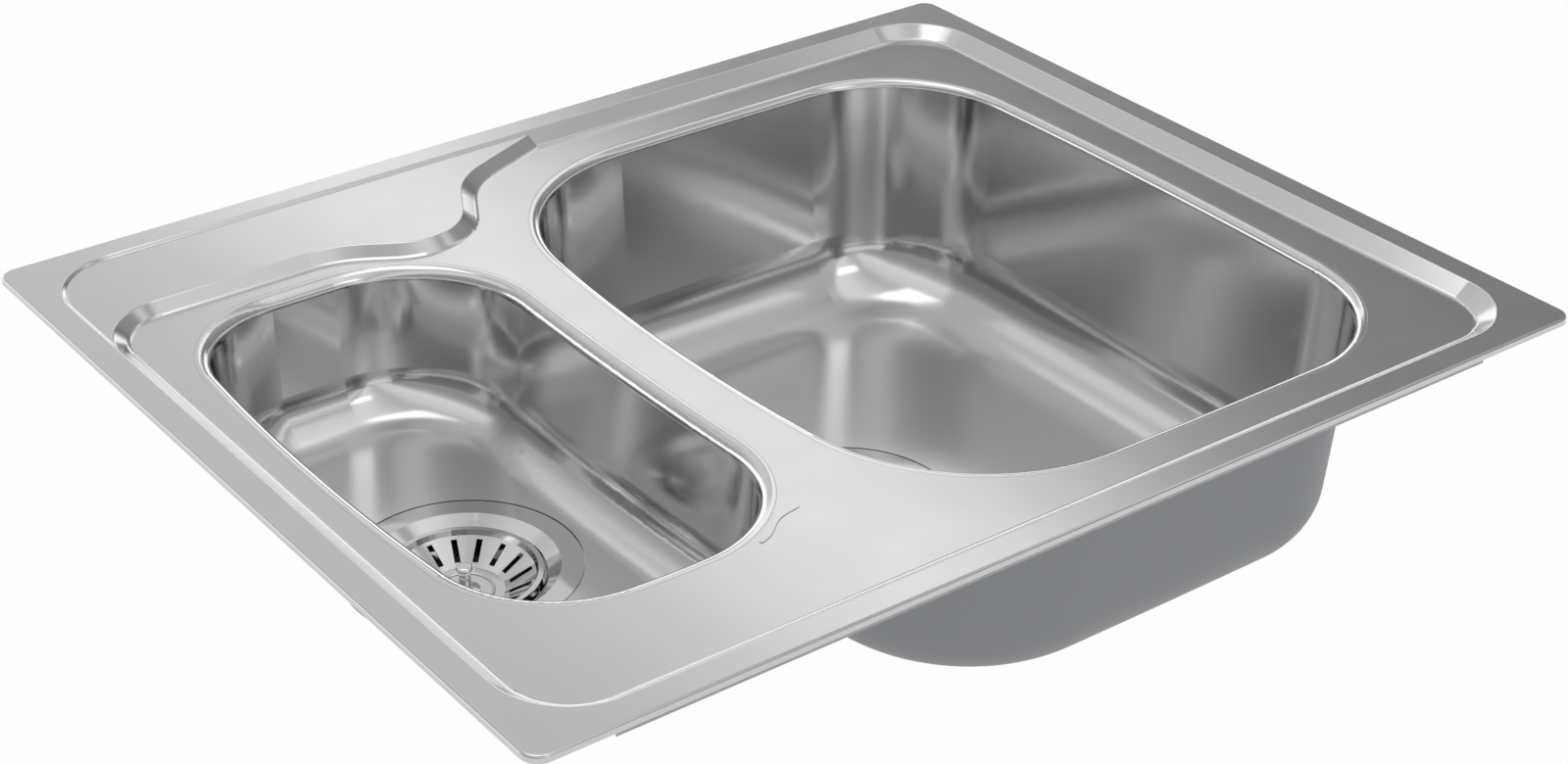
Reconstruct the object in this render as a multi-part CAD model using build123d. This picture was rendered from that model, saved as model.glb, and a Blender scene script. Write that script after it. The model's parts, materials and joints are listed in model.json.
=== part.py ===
from build123d import *
import math
import os

# Inset stainless sink with a main bowl, a half bowl, a tap ledge and two basket wastes.
# Millimetres. X runs to the right, Y to the rear, Z up.
# The origin is the centre of the rim on the worktop's surface.

# Rim
LENGTH = 615.0
WIDTH = 500.0
SHEET = 0.8
RIM_CORNER = 9.0
RIM_HEIGHT = 3.5
RIM_ROUND = 1.4

# Tray pressed into the rim
RIM_BAND = 15.0
TRAY_CORNER = 40.0
TRAY_DEPTH = 7.0
TRAY_SLOPE_RUN = 9.0
TRAY_TOP_ROUND = 1.5
TRAY_FOOT_ROUND = 4.0

# Tap ledge at the rear left, edged by a slope that swings in an S towards the rear
LEDGE_STEP = 1.5
LEDGE_DEPTH = 54.5
LEDGE_CORNER = 29.5
LEDGE_STRAIGHT = 116.0
FALL_RADIUS = 50.0
FALL_ANGLE = 30.0
FALL_STRAIGHT = 18.5
HOOK_RADIUS = 42.0
RISE_ANGLE = 61.0
RISE_STRAIGHT = 20.0
SHOULDER_RADIUS = 46.0
RUN_OUT_ANGLE = 22.0
LEDGE_ROUND = 1.2

# Short S crease pressed into the deck in front of the divider
CREASE_FROM_HALF_BOWL = 36.0
CREASE_FROM_FRONT = 80.5
CREASE_RADIUS = 20.0
CREASE_TURN = 30.0
CREASE_START_ANGLE = 10.0
CREASE_HALF_WIDTH = 0.9
CREASE_HEIGHT = 0.35
CREASE_LEAD = 6.0
CREASE_TAIL = 8.0
CREASE_ROUND = 0.25

# Half bowl at the left. The wall sizes are those of its mouth, under the rolled edge
HALF_LENGTH = 163.0
HALF_FROM_TRAY = 20.5
HALF_FROM_FRONT = 88.0
HALF_FROM_REAR = 96.5
HALF_LEFT_BOW = 9.0
HALF_RIGHT_BOW = -4.0
HALF_FRONT_BOW = 7.0
HALF_REAR_BOW = 1.0
HALF_FRONT_CORNERS = (61.0, 65.0)
HALF_REAR_CORNERS = (57.0, 68.0)
HALF_DEPTH = 79.0
HALF_FOOT_RADIUS = 25.0
HALF_ROLL = 6.5
HALF_DRAIN_FROM_LEFT = 72.5
HALF_DRAIN_FROM_FRONT = 156.7

# Main bowl at the right
DIVIDER = 36.0
MAIN_FROM_TRAY = 28.8
MAIN_FROM_FRONT = 48.8
MAIN_FROM_REAR = 53.0
MAIN_LEFT_BOW = 18.5
MAIN_RIGHT_BOW = 5.5
MAIN_FRONT_BOW = 1.0
MAIN_REAR_BOW = 2.0
MAIN_FRONT_CORNERS = (102.0, 77.0)
MAIN_REAR_CORNERS = (101.0, 78.0)
MAIN_DEPTH = 133.0
MAIN_FOOT_RADIUS = 40.0
MAIN_ROLL = 4.6
MAIN_DRAIN_FROM_LEFT = 111.0
MAIN_DRAIN_FROM_FRONT = 196.0

# Bowl walls
DRAFT = 4.0
WELD_LAND = 1.0
WELD_GAP = 0.3

# Recess in each bowl floor for the waste
RECESS_RADIUS = 58.6
RECESS_DEPTH = 2.2
RECESS_RELIEF = 7.0
WASTE_HOLE = 46.2

# Waste flange, a pressed cup that clamps down on the bowl floor
FLANGE_RADIUS = 58.0
FLANGE_SHEET = 0.8
FLANGE_EDGE_GAP = 0.3
CUP_MOUTH = 47.0
CUP_RADIUS = 40.2
CUP_CONE = 4.0
CUP_DEPTH = 18.7
SEAT_HOLE = 26.0
HUB_RADIUS = 10.0
SPOKES = 4
SPOKE_WIDTH = 7.0
TOP_SEAL = 1.2
TOP_SEAL_INNER = 49.0
TOP_SEAL_OUTER = 56.5

# Waste body below the bowl
LOWER_SEAL = 2.0
LOWER_SEAL_INNER = 48.0
LOWER_SEAL_OUTER = 54.0
BODY_FLANGE = 3.0
BODY_FLANGE_RADIUS = 55.0
BODY_INNER = 41.8
BODY_WALL = 2.0
BODY_DEPTH = 17.0
FUNNEL_DEPTH = 12.0
OUTLET_RADIUS = 23.9
OUTLET_BORE = 20.5
OUTLET_LENGTH = 20.0
BOSS_RADIUS = 9.0
BOSS_LENGTH = 26.0
RIB_WIDTH = 2.4
RIB_HEIGHT = 11.0
RIB_DROP = 13.0

# Hollow screw that pulls the flange and the body together
SCREW_RADIUS = 5.5
SCREW_BORE = 4.3
SCREW_HEAD_RADIUS = 8.5
SCREW_HEAD = 2.2
SCREW_LENGTH = 26.0
SCREW_GAP = 0.3
SCREW_SLOT = 2.0
SCREW_SLOT_DEPTH = 1.2

# Strainer basket with its post and rubber plug
BASKET_RADIUS = 38.6
BASKET_SHEET = 0.7
BASKET_DROP = 2.6
BASKET_RIM = 2.6
BASKET_WALL_RADIUS = 34.8
BASKET_WALL_DROP = 5.2
BASKET_FLOOR_DROP = 14.2
BASKET_FLOOR_RADIUS = 19.5
BEAD_RADIUS = 14.0
BEAD_SIZE = 0.8
SLOTS = 16
SLOT_WIDTH = 3.0
SLOT_INNER = 22.0
SLOT_OUTER = 33.0
POST_NECK = 3.0
POST_HEAD = 4.8
POST_HEAD_HEIGHT = 3.0
POST_BELOW_FLANGE = 0.2
POST_FOOT = 7.5
POST_FOOT_HEIGHT = 1.2
STEM_RADIUS = 4.0
STEM_GAP = 0.3
STEM_LENGTH = 22.0
PLUG_TOP = 1.2
PLUG_SKIRT_WIDTH = 3.5
PLUG_RADIUS = 31.0
PLUG_GAP = 0.3

# Foam seal below the rim
SEAL_FROM_EDGE = 1.8
SEAL_WIDTH = 7.4
SEAL_INNER_CORNER = 2.0

# Fixing rails welded below the rim
RAIL_SHEET = 0.8
RAIL_FOOT = 4.4
RAIL_FROM_EDGE = 13.4
RAIL_HEIGHT = 16.4
RAIL_END_GAP = 48.7

# Clips that swing out from the rails and clamp the worktop from below
CLIP_WIDTH = 11.2
CLIP_SHEET = 1.5
CLIP_ARM = 37.0
CLIP_FOOT = 14.0
CLIP_PIN_RADIUS = 1.5
CLIP_PIN_GAP = 0.3
CLIP_EYE_WALL = 1.1
CLIP_PIN_FROM_RAIL = 4.4
CLIP_PIN_LEVEL = -8.0
CLIP_SIDE_GAP = 0.4
BRACKET_SHEET = 1.0
BRACKET_EAR_REACH = 7.4
BRACKET_EAR_HEIGHT = 6.4
BRACKET_PLATE_LENGTH = 20.0
BRACKET_PLATE_HEIGHT = 9.0
PIN_HEAD_RADIUS = 2.5
PIN_HEAD = 0.8
CLAMP_RADIUS = 2.5
CLAMP_GAP = 0.3
CLAMP_LENGTH = 18.0
CLAMP_HEAD_RADIUS = 4.3
CLAMP_HEAD = 3.0
CLAMP_FROM_PIN = 9.5
CLAMP_SLOT = 1.2
CLAMP_SLOT_DEPTH = 1.6
CLIP_FROM_LEFT = 90.0
CLIP_FROM_RIGHT = 63.0
CLIP_FROM_FRONT = 64.0
CLIP_FROM_REAR = 70.0

# Sound deadening pads below the bowl floors
PAD_THICKNESS = 2.5
PAD_CORNER = 10.0
PAD_FROM_RECESS = 8.0
MAIN_PAD_LENGTH = 80.0
MAIN_PAD_WIDTH = 200.0
HALF_PAD_LENGTH = 80.0
HALF_PAD_WIDTH = 44.0

# Levels and lines worked out from the sizes above
RIM_TOP = RIM_HEIGHT
RIM_UNDER = RIM_TOP - SHEET
TRAY_TOP = RIM_TOP - TRAY_DEPTH
LEDGE_TOP = RIM_TOP - LEDGE_STEP
SLOPE_ANGLE = math.degrees(math.atan2(TRAY_SLOPE_RUN, TRAY_DEPTH))
FOOT_INSET = RIM_BAND + TRAY_SLOPE_RUN
LEFT = -LENGTH / 2
RIGHT = LENGTH / 2
FRONT = -WIDTH / 2
REAR = WIDTH / 2
HALF_X0 = LEFT + FOOT_INSET + HALF_FROM_TRAY
HALF_X1 = HALF_X0 + HALF_LENGTH
HALF_Y0 = FRONT + HALF_FROM_FRONT
HALF_Y1 = REAR - HALF_FROM_REAR
MAIN_X0 = HALF_X1 + DIVIDER
MAIN_X1 = RIGHT - FOOT_INSET - MAIN_FROM_TRAY
MAIN_Y0 = FRONT + MAIN_FROM_FRONT
MAIN_Y1 = REAR - MAIN_FROM_REAR
HALF_DRAIN = (HALF_X0 + HALF_DRAIN_FROM_LEFT, HALF_Y0 + HALF_DRAIN_FROM_FRONT)
MAIN_DRAIN = (MAIN_X0 + MAIN_DRAIN_FROM_LEFT, MAIN_Y0 + MAIN_DRAIN_FROM_FRONT)


class Pen:
    """Draws a chain of tangent lines and arcs in plan."""

    def __init__(self, x, y, heading=0.0):
        self.at = Vector(x, y)
        self.heading = heading
        self.edges = []

    def step(self, angle, length):
        """The point at a distance from the pen, at an angle in degrees from +X."""
        return self.at + Vector(length, 0).rotate(Axis.Z, angle)

    def line(self, length):
        end = self.step(self.heading, length)
        self.edges.append(Edge.make_line(self.at, end))
        self.at = end
        return self

    def turn(self, radius, angle):
        """Turn left by a positive angle or right by a negative one."""
        side = math.copysign(90, angle)
        centre = self.step(self.heading + side, radius)
        spoke = Vector(radius, 0)
        middle = centre + spoke.rotate(Axis.Z, self.heading + angle / 2 - side)
        end = centre + spoke.rotate(Axis.Z, self.heading + angle - side)
        self.edges.append(Edge.make_three_point_arc(self.at, middle, end))
        self.at = end
        self.heading += angle
        return self


def cylinder(radius, low, high, centre=(0, 0)):
    disc = Plane.XY.offset(low) * Pos(*centre) * Circle(radius)
    return extrude(disc, high - low)


def tube(outer, inner, low, high, centre=(0, 0)):
    return cylinder(outer, low, high, centre) - cylinder(inner, low, high, centre)


def spun(points, centre=(0, 0)):
    """A solid of revolution about a vertical axis from points of radius and level."""
    section = make_face(Plane.XZ * Polyline(*points, close=True))
    return Pos(*centre) * revolve(section, Axis.Z)


def plate(length, width, corner, low, high, centre=(0, 0)):
    outline = Plane.XY.offset(low) * Pos(*centre) * RectangleRounded(length, width, corner)
    return extrude(outline, high - low)


def block(x0, x1, y0, y1, z0, z1):
    return Pos(x0, y0, z0) * Box(x1 - x0, y1 - y0, z1 - z0, align=Align.MIN)


def edges_at(solid, level, keep=lambda edge: True):
    """The edges of a solid that lie flat at one level."""
    found = []
    for edge in solid.edges():
        box = edge.bounding_box()
        if abs(box.min.Z - level) < 1e-3 and abs(box.max.Z - level) < 1e-3 and keep(edge):
            found.append(edge)
    return found


def mouth_edges(solid, level):
    """The edges of the hole in the flat face at one level."""
    for face in solid.faces():
        if abs(face.center().Z - level) < 1e-3 and face.inner_wires():
            return face.inner_wires()[0].edges()
    return []


class Bowl:
    """A drawn bowl: rolled edge, drafted wall, round foot and flat floor with a waste recess."""

    def __init__(self, box, bows, corners, roll, depth, foot, drain):
        self.x0, self.x1, self.y0, self.y1 = box
        self.bows = bows
        self.corners = corners
        self.roll = roll
        self.floor = TRAY_TOP - depth
        self.foot = foot
        self.drain = drain
        self.recess = self.floor - RECESS_DEPTH

    def outline(self, level, grow):
        """The wall's outline at the mouth, grown outwards: bowed sides and round corners."""
        left, right, front, rear = self.bows
        x0 = self.x0 - grow + left
        x1 = self.x1 + grow - right
        y0 = self.y0 - grow + front
        y1 = self.y1 + grow - rear
        mid_x = (x0 + x1) / 2
        mid_y = (y0 + y1) / 2
        sides = [
            ThreePointArc((x0, y0), (mid_x, y0 - front), (x1, y0)),
            ThreePointArc((x1, y0), (x1 + right, mid_y), (x1, y1)),
            ThreePointArc((x1, y1), (mid_x, y1 + rear), (x0, y1)),
            ThreePointArc((x0, y1), (x0 - left, mid_y), (x0, y0)),
        ]
        face = make_face(sides).face()
        spots = ((x0, y0), (x1, y0), (x0, y1), (x1, y1))
        for (x, y), radius in zip(spots, self.corners):
            nearest = min(face.vertices(), key=lambda v: math.hypot(v.X - x, v.Y - y))
            face = face.fillet_2d(radius + grow, [nearest])
        return Pos(0, 0, level) * face

    def hollow(self, top, skin):
        """The bowl's hollow below a level, grown outwards by the sheet."""
        floor = self.floor - skin
        lean = (top - floor) * math.tan(math.radians(DRAFT))
        body = extrude(self.outline(floor, skin - lean), top - floor, taper=-DRAFT)
        body = fillet(edges_at(body, floor), self.foot + skin)
        low = self.recess - skin
        return body + cylinder(RECESS_RADIUS + skin, low, low + RECESS_RELIEF, self.drain)

    def sheet(self):
        under = TRAY_TOP - SHEET
        land = extrude(self.outline(under, self.roll + WELD_LAND), SHEET)
        bowl = land + self.hollow(under, SHEET) - self.hollow(TRAY_TOP, 0)
        bowl = fillet(mouth_edges(bowl, TRAY_TOP), self.roll)
        bowl = fillet(mouth_edges(bowl, under), self.roll - SHEET)
        return bowl - cylinder(WASTE_HOLE, self.recess - 2 * SHEET, self.recess + SHEET, self.drain)

    def opening(self):
        """The cut in the deck that the bowl is welded into."""
        return extrude(self.outline(TRAY_TOP - 2 * SHEET, self.roll + WELD_LAND + WELD_GAP), 4 * SHEET)


def half_bowl():
    box = (HALF_X0, HALF_X1, HALF_Y0, HALF_Y1)
    bows = (HALF_LEFT_BOW, HALF_RIGHT_BOW, HALF_FRONT_BOW, HALF_REAR_BOW)
    corners = HALF_FRONT_CORNERS + HALF_REAR_CORNERS
    return Bowl(box, bows, corners, HALF_ROLL, HALF_DEPTH, HALF_FOOT_RADIUS, HALF_DRAIN)


def main_bowl():
    box = (MAIN_X0, MAIN_X1, MAIN_Y0, MAIN_Y1)
    bows = (MAIN_LEFT_BOW, MAIN_RIGHT_BOW, MAIN_FRONT_BOW, MAIN_REAR_BOW)
    corners = MAIN_FRONT_CORNERS + MAIN_REAR_CORNERS
    return Bowl(box, bows, corners, MAIN_ROLL, MAIN_DEPTH, MAIN_FOOT_RADIUS, MAIN_DRAIN)


def tray_foot():
    """The foot line of the tray's sloping sides, bounded at the rear left by the tap ledge."""
    foot_left = LEFT + FOOT_INSET
    foot_rear = REAR - FOOT_INSET
    ledge_line = foot_rear - LEDGE_DEPTH
    margin = FOOT_INSET * 2
    pen = Pen(foot_left - margin, ledge_line)
    pen.line(margin + LEDGE_STRAIGHT)
    pen.turn(FALL_RADIUS, -FALL_ANGLE)
    pen.line(FALL_STRAIGHT)
    pen.turn(HOOK_RADIUS, FALL_ANGLE + RISE_ANGLE)
    pen.line(RISE_STRAIGHT)
    pen.turn(SHOULDER_RADIUS, RUN_OUT_ANGLE - RISE_ANGLE)
    pen.line((foot_rear + margin / 2 - pen.at.Y) / math.sin(math.radians(RUN_OUT_ANGLE)))
    behind = foot_rear + margin
    corners = [pen.at, Vector(pen.at.X, behind), Vector(foot_left - margin, behind)]
    corners.append(Vector(foot_left - margin, ledge_line))
    closing = [Edge.make_line(p, q) for p, q in zip(corners, corners[1:])]
    ledge = Face(Wire(pen.edges + closing))
    tray = RectangleRounded(LENGTH - 2 * FOOT_INSET, WIDTH - 2 * FOOT_INSET, TRAY_CORNER - TRAY_SLOPE_RUN)
    tray = (tray - ledge).faces()[0]
    corner = min(tray.vertices(), key=lambda v: (v.X - foot_left) ** 2 + (v.Y - ledge_line) ** 2)
    return tray.fillet_2d(LEDGE_CORNER, [corner])


def inside_rim(edge):
    middle = edge.center()
    return abs(middle.X) < RIGHT - RIM_BAND / 2 and abs(middle.Y) < REAR - RIM_BAND / 2


def outside_rim(edge):
    return not inside_rim(edge)


def deck_form(skin):
    """Everything below the deck's top face, or below its underside when given the sheet as skin."""
    top = RIM_TOP - skin
    tray_level = TRAY_TOP - skin
    form = plate(LENGTH - 2 * skin, WIDTH - 2 * skin, RIM_CORNER - skin, tray_level - TRAY_DEPTH, top)
    tray = extrude(Pos(0, 0, TRAY_TOP) * tray_foot(), TRAY_DEPTH, taper=-SLOPE_ANGLE)
    ledge_run = TRAY_SLOPE_RUN * LEDGE_STEP / TRAY_DEPTH
    inset = 2 * (RIM_BAND + ledge_run)
    ledge = RectangleRounded(LENGTH - inset, WIDTH - inset, TRAY_CORNER - ledge_run)
    ledge = extrude(Pos(0, 0, RIM_TOP - LEDGE_STEP) * ledge, LEDGE_STEP, taper=-SLOPE_ANGLE)
    form -= Pos(0, 0, -skin) * (tray + ledge)
    form = fillet(edges_at(form, top - LEDGE_STEP), LEDGE_ROUND)
    form = fillet(edges_at(form, tray_level), TRAY_FOOT_ROUND)
    form = fillet(edges_at(form, top, inside_rim), TRAY_TOP_ROUND)
    return fillet(edges_at(form, top, outside_rim), RIM_ROUND - skin)


def crease():
    """The S crease in front of the divider, a low ridge pressed up from the deck."""
    start_x = HALF_X1 - CREASE_FROM_HALF_BOWL
    start_y = FRONT + CREASE_FROM_FRONT
    chains = []
    for side in (-1, 1):
        pen = Pen(start_x, start_y, CREASE_START_ANGLE)
        pen.at = pen.step(CREASE_START_ANGLE + 90, side * CREASE_HALF_WIDTH)
        pen.turn(CREASE_RADIUS - side * CREASE_HALF_WIDTH, CREASE_TURN)
        pen.line(CREASE_LEAD)
        pen.turn(CREASE_RADIUS + side * CREASE_HALF_WIDTH, -CREASE_TURN)
        pen.line(CREASE_TAIL)
        chains.append(pen)
    ends = [Edge.make_line(chains[0].edges[0] @ 0, chains[1].edges[0] @ 0)]
    ends.append(Edge.make_line(chains[0].at, chains[1].at))
    ribbon = Face(Wire(chains[0].edges + chains[1].edges + ends))
    ridge = extrude(Pos(0, 0, TRAY_TOP - SHEET / 2) * ribbon, CREASE_HEIGHT + SHEET / 2)
    long_edges = edges_at(ridge, TRAY_TOP + CREASE_HEIGHT, lambda edge: edge.length > 3 * CREASE_HALF_WIDTH)
    return fillet(long_edges, CREASE_ROUND)


def deck(bowls):
    sheet = deck_form(0) - deck_form(SHEET)
    low = TRAY_TOP - 2 * TRAY_DEPTH
    edge = 2 * SEAL_FROM_EDGE
    skirt = plate(LENGTH + edge, WIDTH + edge, RIM_CORNER, low, 0)
    skirt -= plate(LENGTH - edge, WIDTH - edge, RIM_CORNER, low, 0)
    sheet = sheet - skirt + crease()
    for bowl in bowls:
        sheet -= bowl.opening()
    return sheet


def rim_seal():
    outer = 2 * SEAL_FROM_EDGE
    inner = outer + 2 * SEAL_WIDTH
    strip = plate(LENGTH - outer, WIDTH - outer, RIM_CORNER - SEAL_FROM_EDGE, 0, RIM_UNDER)
    return strip - plate(LENGTH - inner, WIDTH - inner, SEAL_INNER_CORNER, 0, RIM_UNDER)


def sides():
    """For each side of the rim: the place at its middle, turned to face inwards, and its length."""
    return {
        "front": (Pos(0, FRONT, 0), LENGTH),
        "rear": (Pos(0, REAR, 0) * Rot(0, 0, 180), LENGTH),
        "left": (Pos(LEFT, 0, 0) * Rot(0, 0, -90), WIDTH),
        "right": (Pos(RIGHT, 0, 0) * Rot(0, 0, 90), WIDTH),
    }


def rail(place, side_length):
    half = side_length / 2 - RAIL_END_GAP
    inner = RAIL_FROM_EDGE + RAIL_SHEET
    web = block(-half, half, RAIL_FROM_EDGE, inner, RIM_UNDER - RAIL_HEIGHT, RIM_UNDER)
    foot = block(-half, half, inner - RAIL_FOOT, inner, RIM_UNDER - RAIL_SHEET, RIM_UNDER)
    return place * (web + foot)


def clip_places():
    """Where the clips stand, as places on the rim's edge turned to face inwards."""
    middle = (HALF_X1 + MAIN_X0) / 2
    along = (LEFT + CLIP_FROM_LEFT, middle, RIGHT - CLIP_FROM_RIGHT)
    places = [Pos(x, FRONT, 0) for x in along]
    places += [Pos(RIGHT, FRONT + CLIP_FROM_FRONT, 0) * Rot(0, 0, 90)]
    places += [Pos(x, REAR, 0) * Rot(0, 0, 180) for x in reversed(along)]
    places += [Pos(LEFT, REAR - CLIP_FROM_REAR, 0) * Rot(0, 0, -90)]
    return places


RAIL_INNER = RAIL_FROM_EDGE + RAIL_SHEET
PIN_LINE = RAIL_INNER + CLIP_PIN_FROM_RAIL
EAR_INNER = CLIP_WIDTH / 2 + CLIP_SIDE_GAP
EAR_OUTER = EAR_INNER + BRACKET_SHEET
FOOT_LINE = PIN_LINE + CLIP_ARM


def along_x(radius, x0, x1, y, z):
    """A cylinder lying along X."""
    return Pos((x0 + x1) / 2, y, z) * Rot(0, 90, 0) * Cylinder(radius, x1 - x0)


def along_y(radius, y0, y1, x, z):
    """A cylinder lying along Y."""
    return Pos(x, (y0 + y1) / 2, z) * Rot(90, 0, 0) * Cylinder(radius, y1 - y0)


def clip_bracket():
    ear_low = CLIP_PIN_LEVEL - BRACKET_EAR_HEIGHT / 2
    ear_high = CLIP_PIN_LEVEL + BRACKET_EAR_HEIGHT / 2
    ear_end = RAIL_INNER + BRACKET_SHEET + BRACKET_EAR_REACH
    plate_half = BRACKET_PLATE_LENGTH / 2
    plate_low = CLIP_PIN_LEVEL - BRACKET_PLATE_HEIGHT / 2
    plate_high = CLIP_PIN_LEVEL + BRACKET_PLATE_HEIGHT / 2
    back = block(-plate_half, plate_half, RAIL_INNER, RAIL_INNER + BRACKET_SHEET, plate_low, plate_high)
    ears = block(-EAR_OUTER, EAR_OUTER, RAIL_INNER, ear_end, ear_low, ear_high)
    ears -= block(-EAR_INNER, EAR_INNER, RAIL_INNER, ear_end, ear_low, ear_high)
    hole = along_x(CLIP_PIN_RADIUS + CLIP_PIN_GAP, -EAR_OUTER, EAR_OUTER, PIN_LINE, CLIP_PIN_LEVEL)
    return back + ears - hole


def clip_pin():
    pin = along_x(CLIP_PIN_RADIUS, -EAR_OUTER, EAR_OUTER, PIN_LINE, CLIP_PIN_LEVEL)
    for x in (-EAR_OUTER - PIN_HEAD, EAR_OUTER):
        pin += along_x(PIN_HEAD_RADIUS, x, x + PIN_HEAD, PIN_LINE, CLIP_PIN_LEVEL)
    return pin


def clip_arm():
    """The clip as it is stowed: the arm lies inwards below the deck and the foot hangs from its end."""
    half = CLIP_WIDTH / 2
    eye = CLIP_PIN_RADIUS + CLIP_PIN_GAP
    top = CLIP_PIN_LEVEL + CLIP_SHEET / 2
    arm = block(-half, half, PIN_LINE, FOOT_LINE, top - CLIP_SHEET, top)
    foot = block(-half, half, FOOT_LINE - CLIP_SHEET, FOOT_LINE, top - CLIP_FOOT, top)
    clip = along_x(eye + CLIP_EYE_WALL, -half, half, PIN_LINE, CLIP_PIN_LEVEL) + arm + foot
    clip = fillet(clip.edges().filter_by(Axis.X).group_by(Axis.Y)[-1].group_by(Axis.Z)[-1], CLIP_SHEET)
    clip -= along_x(eye, -half, half, PIN_LINE, CLIP_PIN_LEVEL)
    hole = CLAMP_RADIUS + CLAMP_GAP
    return clip - along_y(hole, FOOT_LINE - 2 * CLIP_SHEET, FOOT_LINE + CLIP_SHEET, 0, CLIP_PIN_LEVEL - CLAMP_FROM_PIN)


def clip_screw():
    level = CLIP_PIN_LEVEL - CLAMP_FROM_PIN
    head_end = FOOT_LINE + CLAMP_HEAD
    shank = along_y(CLAMP_RADIUS, FOOT_LINE - CLAMP_LENGTH, FOOT_LINE, 0, level)
    head = along_y(CLAMP_HEAD_RADIUS, FOOT_LINE, head_end, 0, level)
    slot = block(-CLAMP_HEAD_RADIUS, CLAMP_HEAD_RADIUS, head_end - CLAMP_SLOT_DEPTH, head_end,
                 level - CLAMP_SLOT / 2, level + CLAMP_SLOT / 2)
    return shank + head - slot


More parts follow.
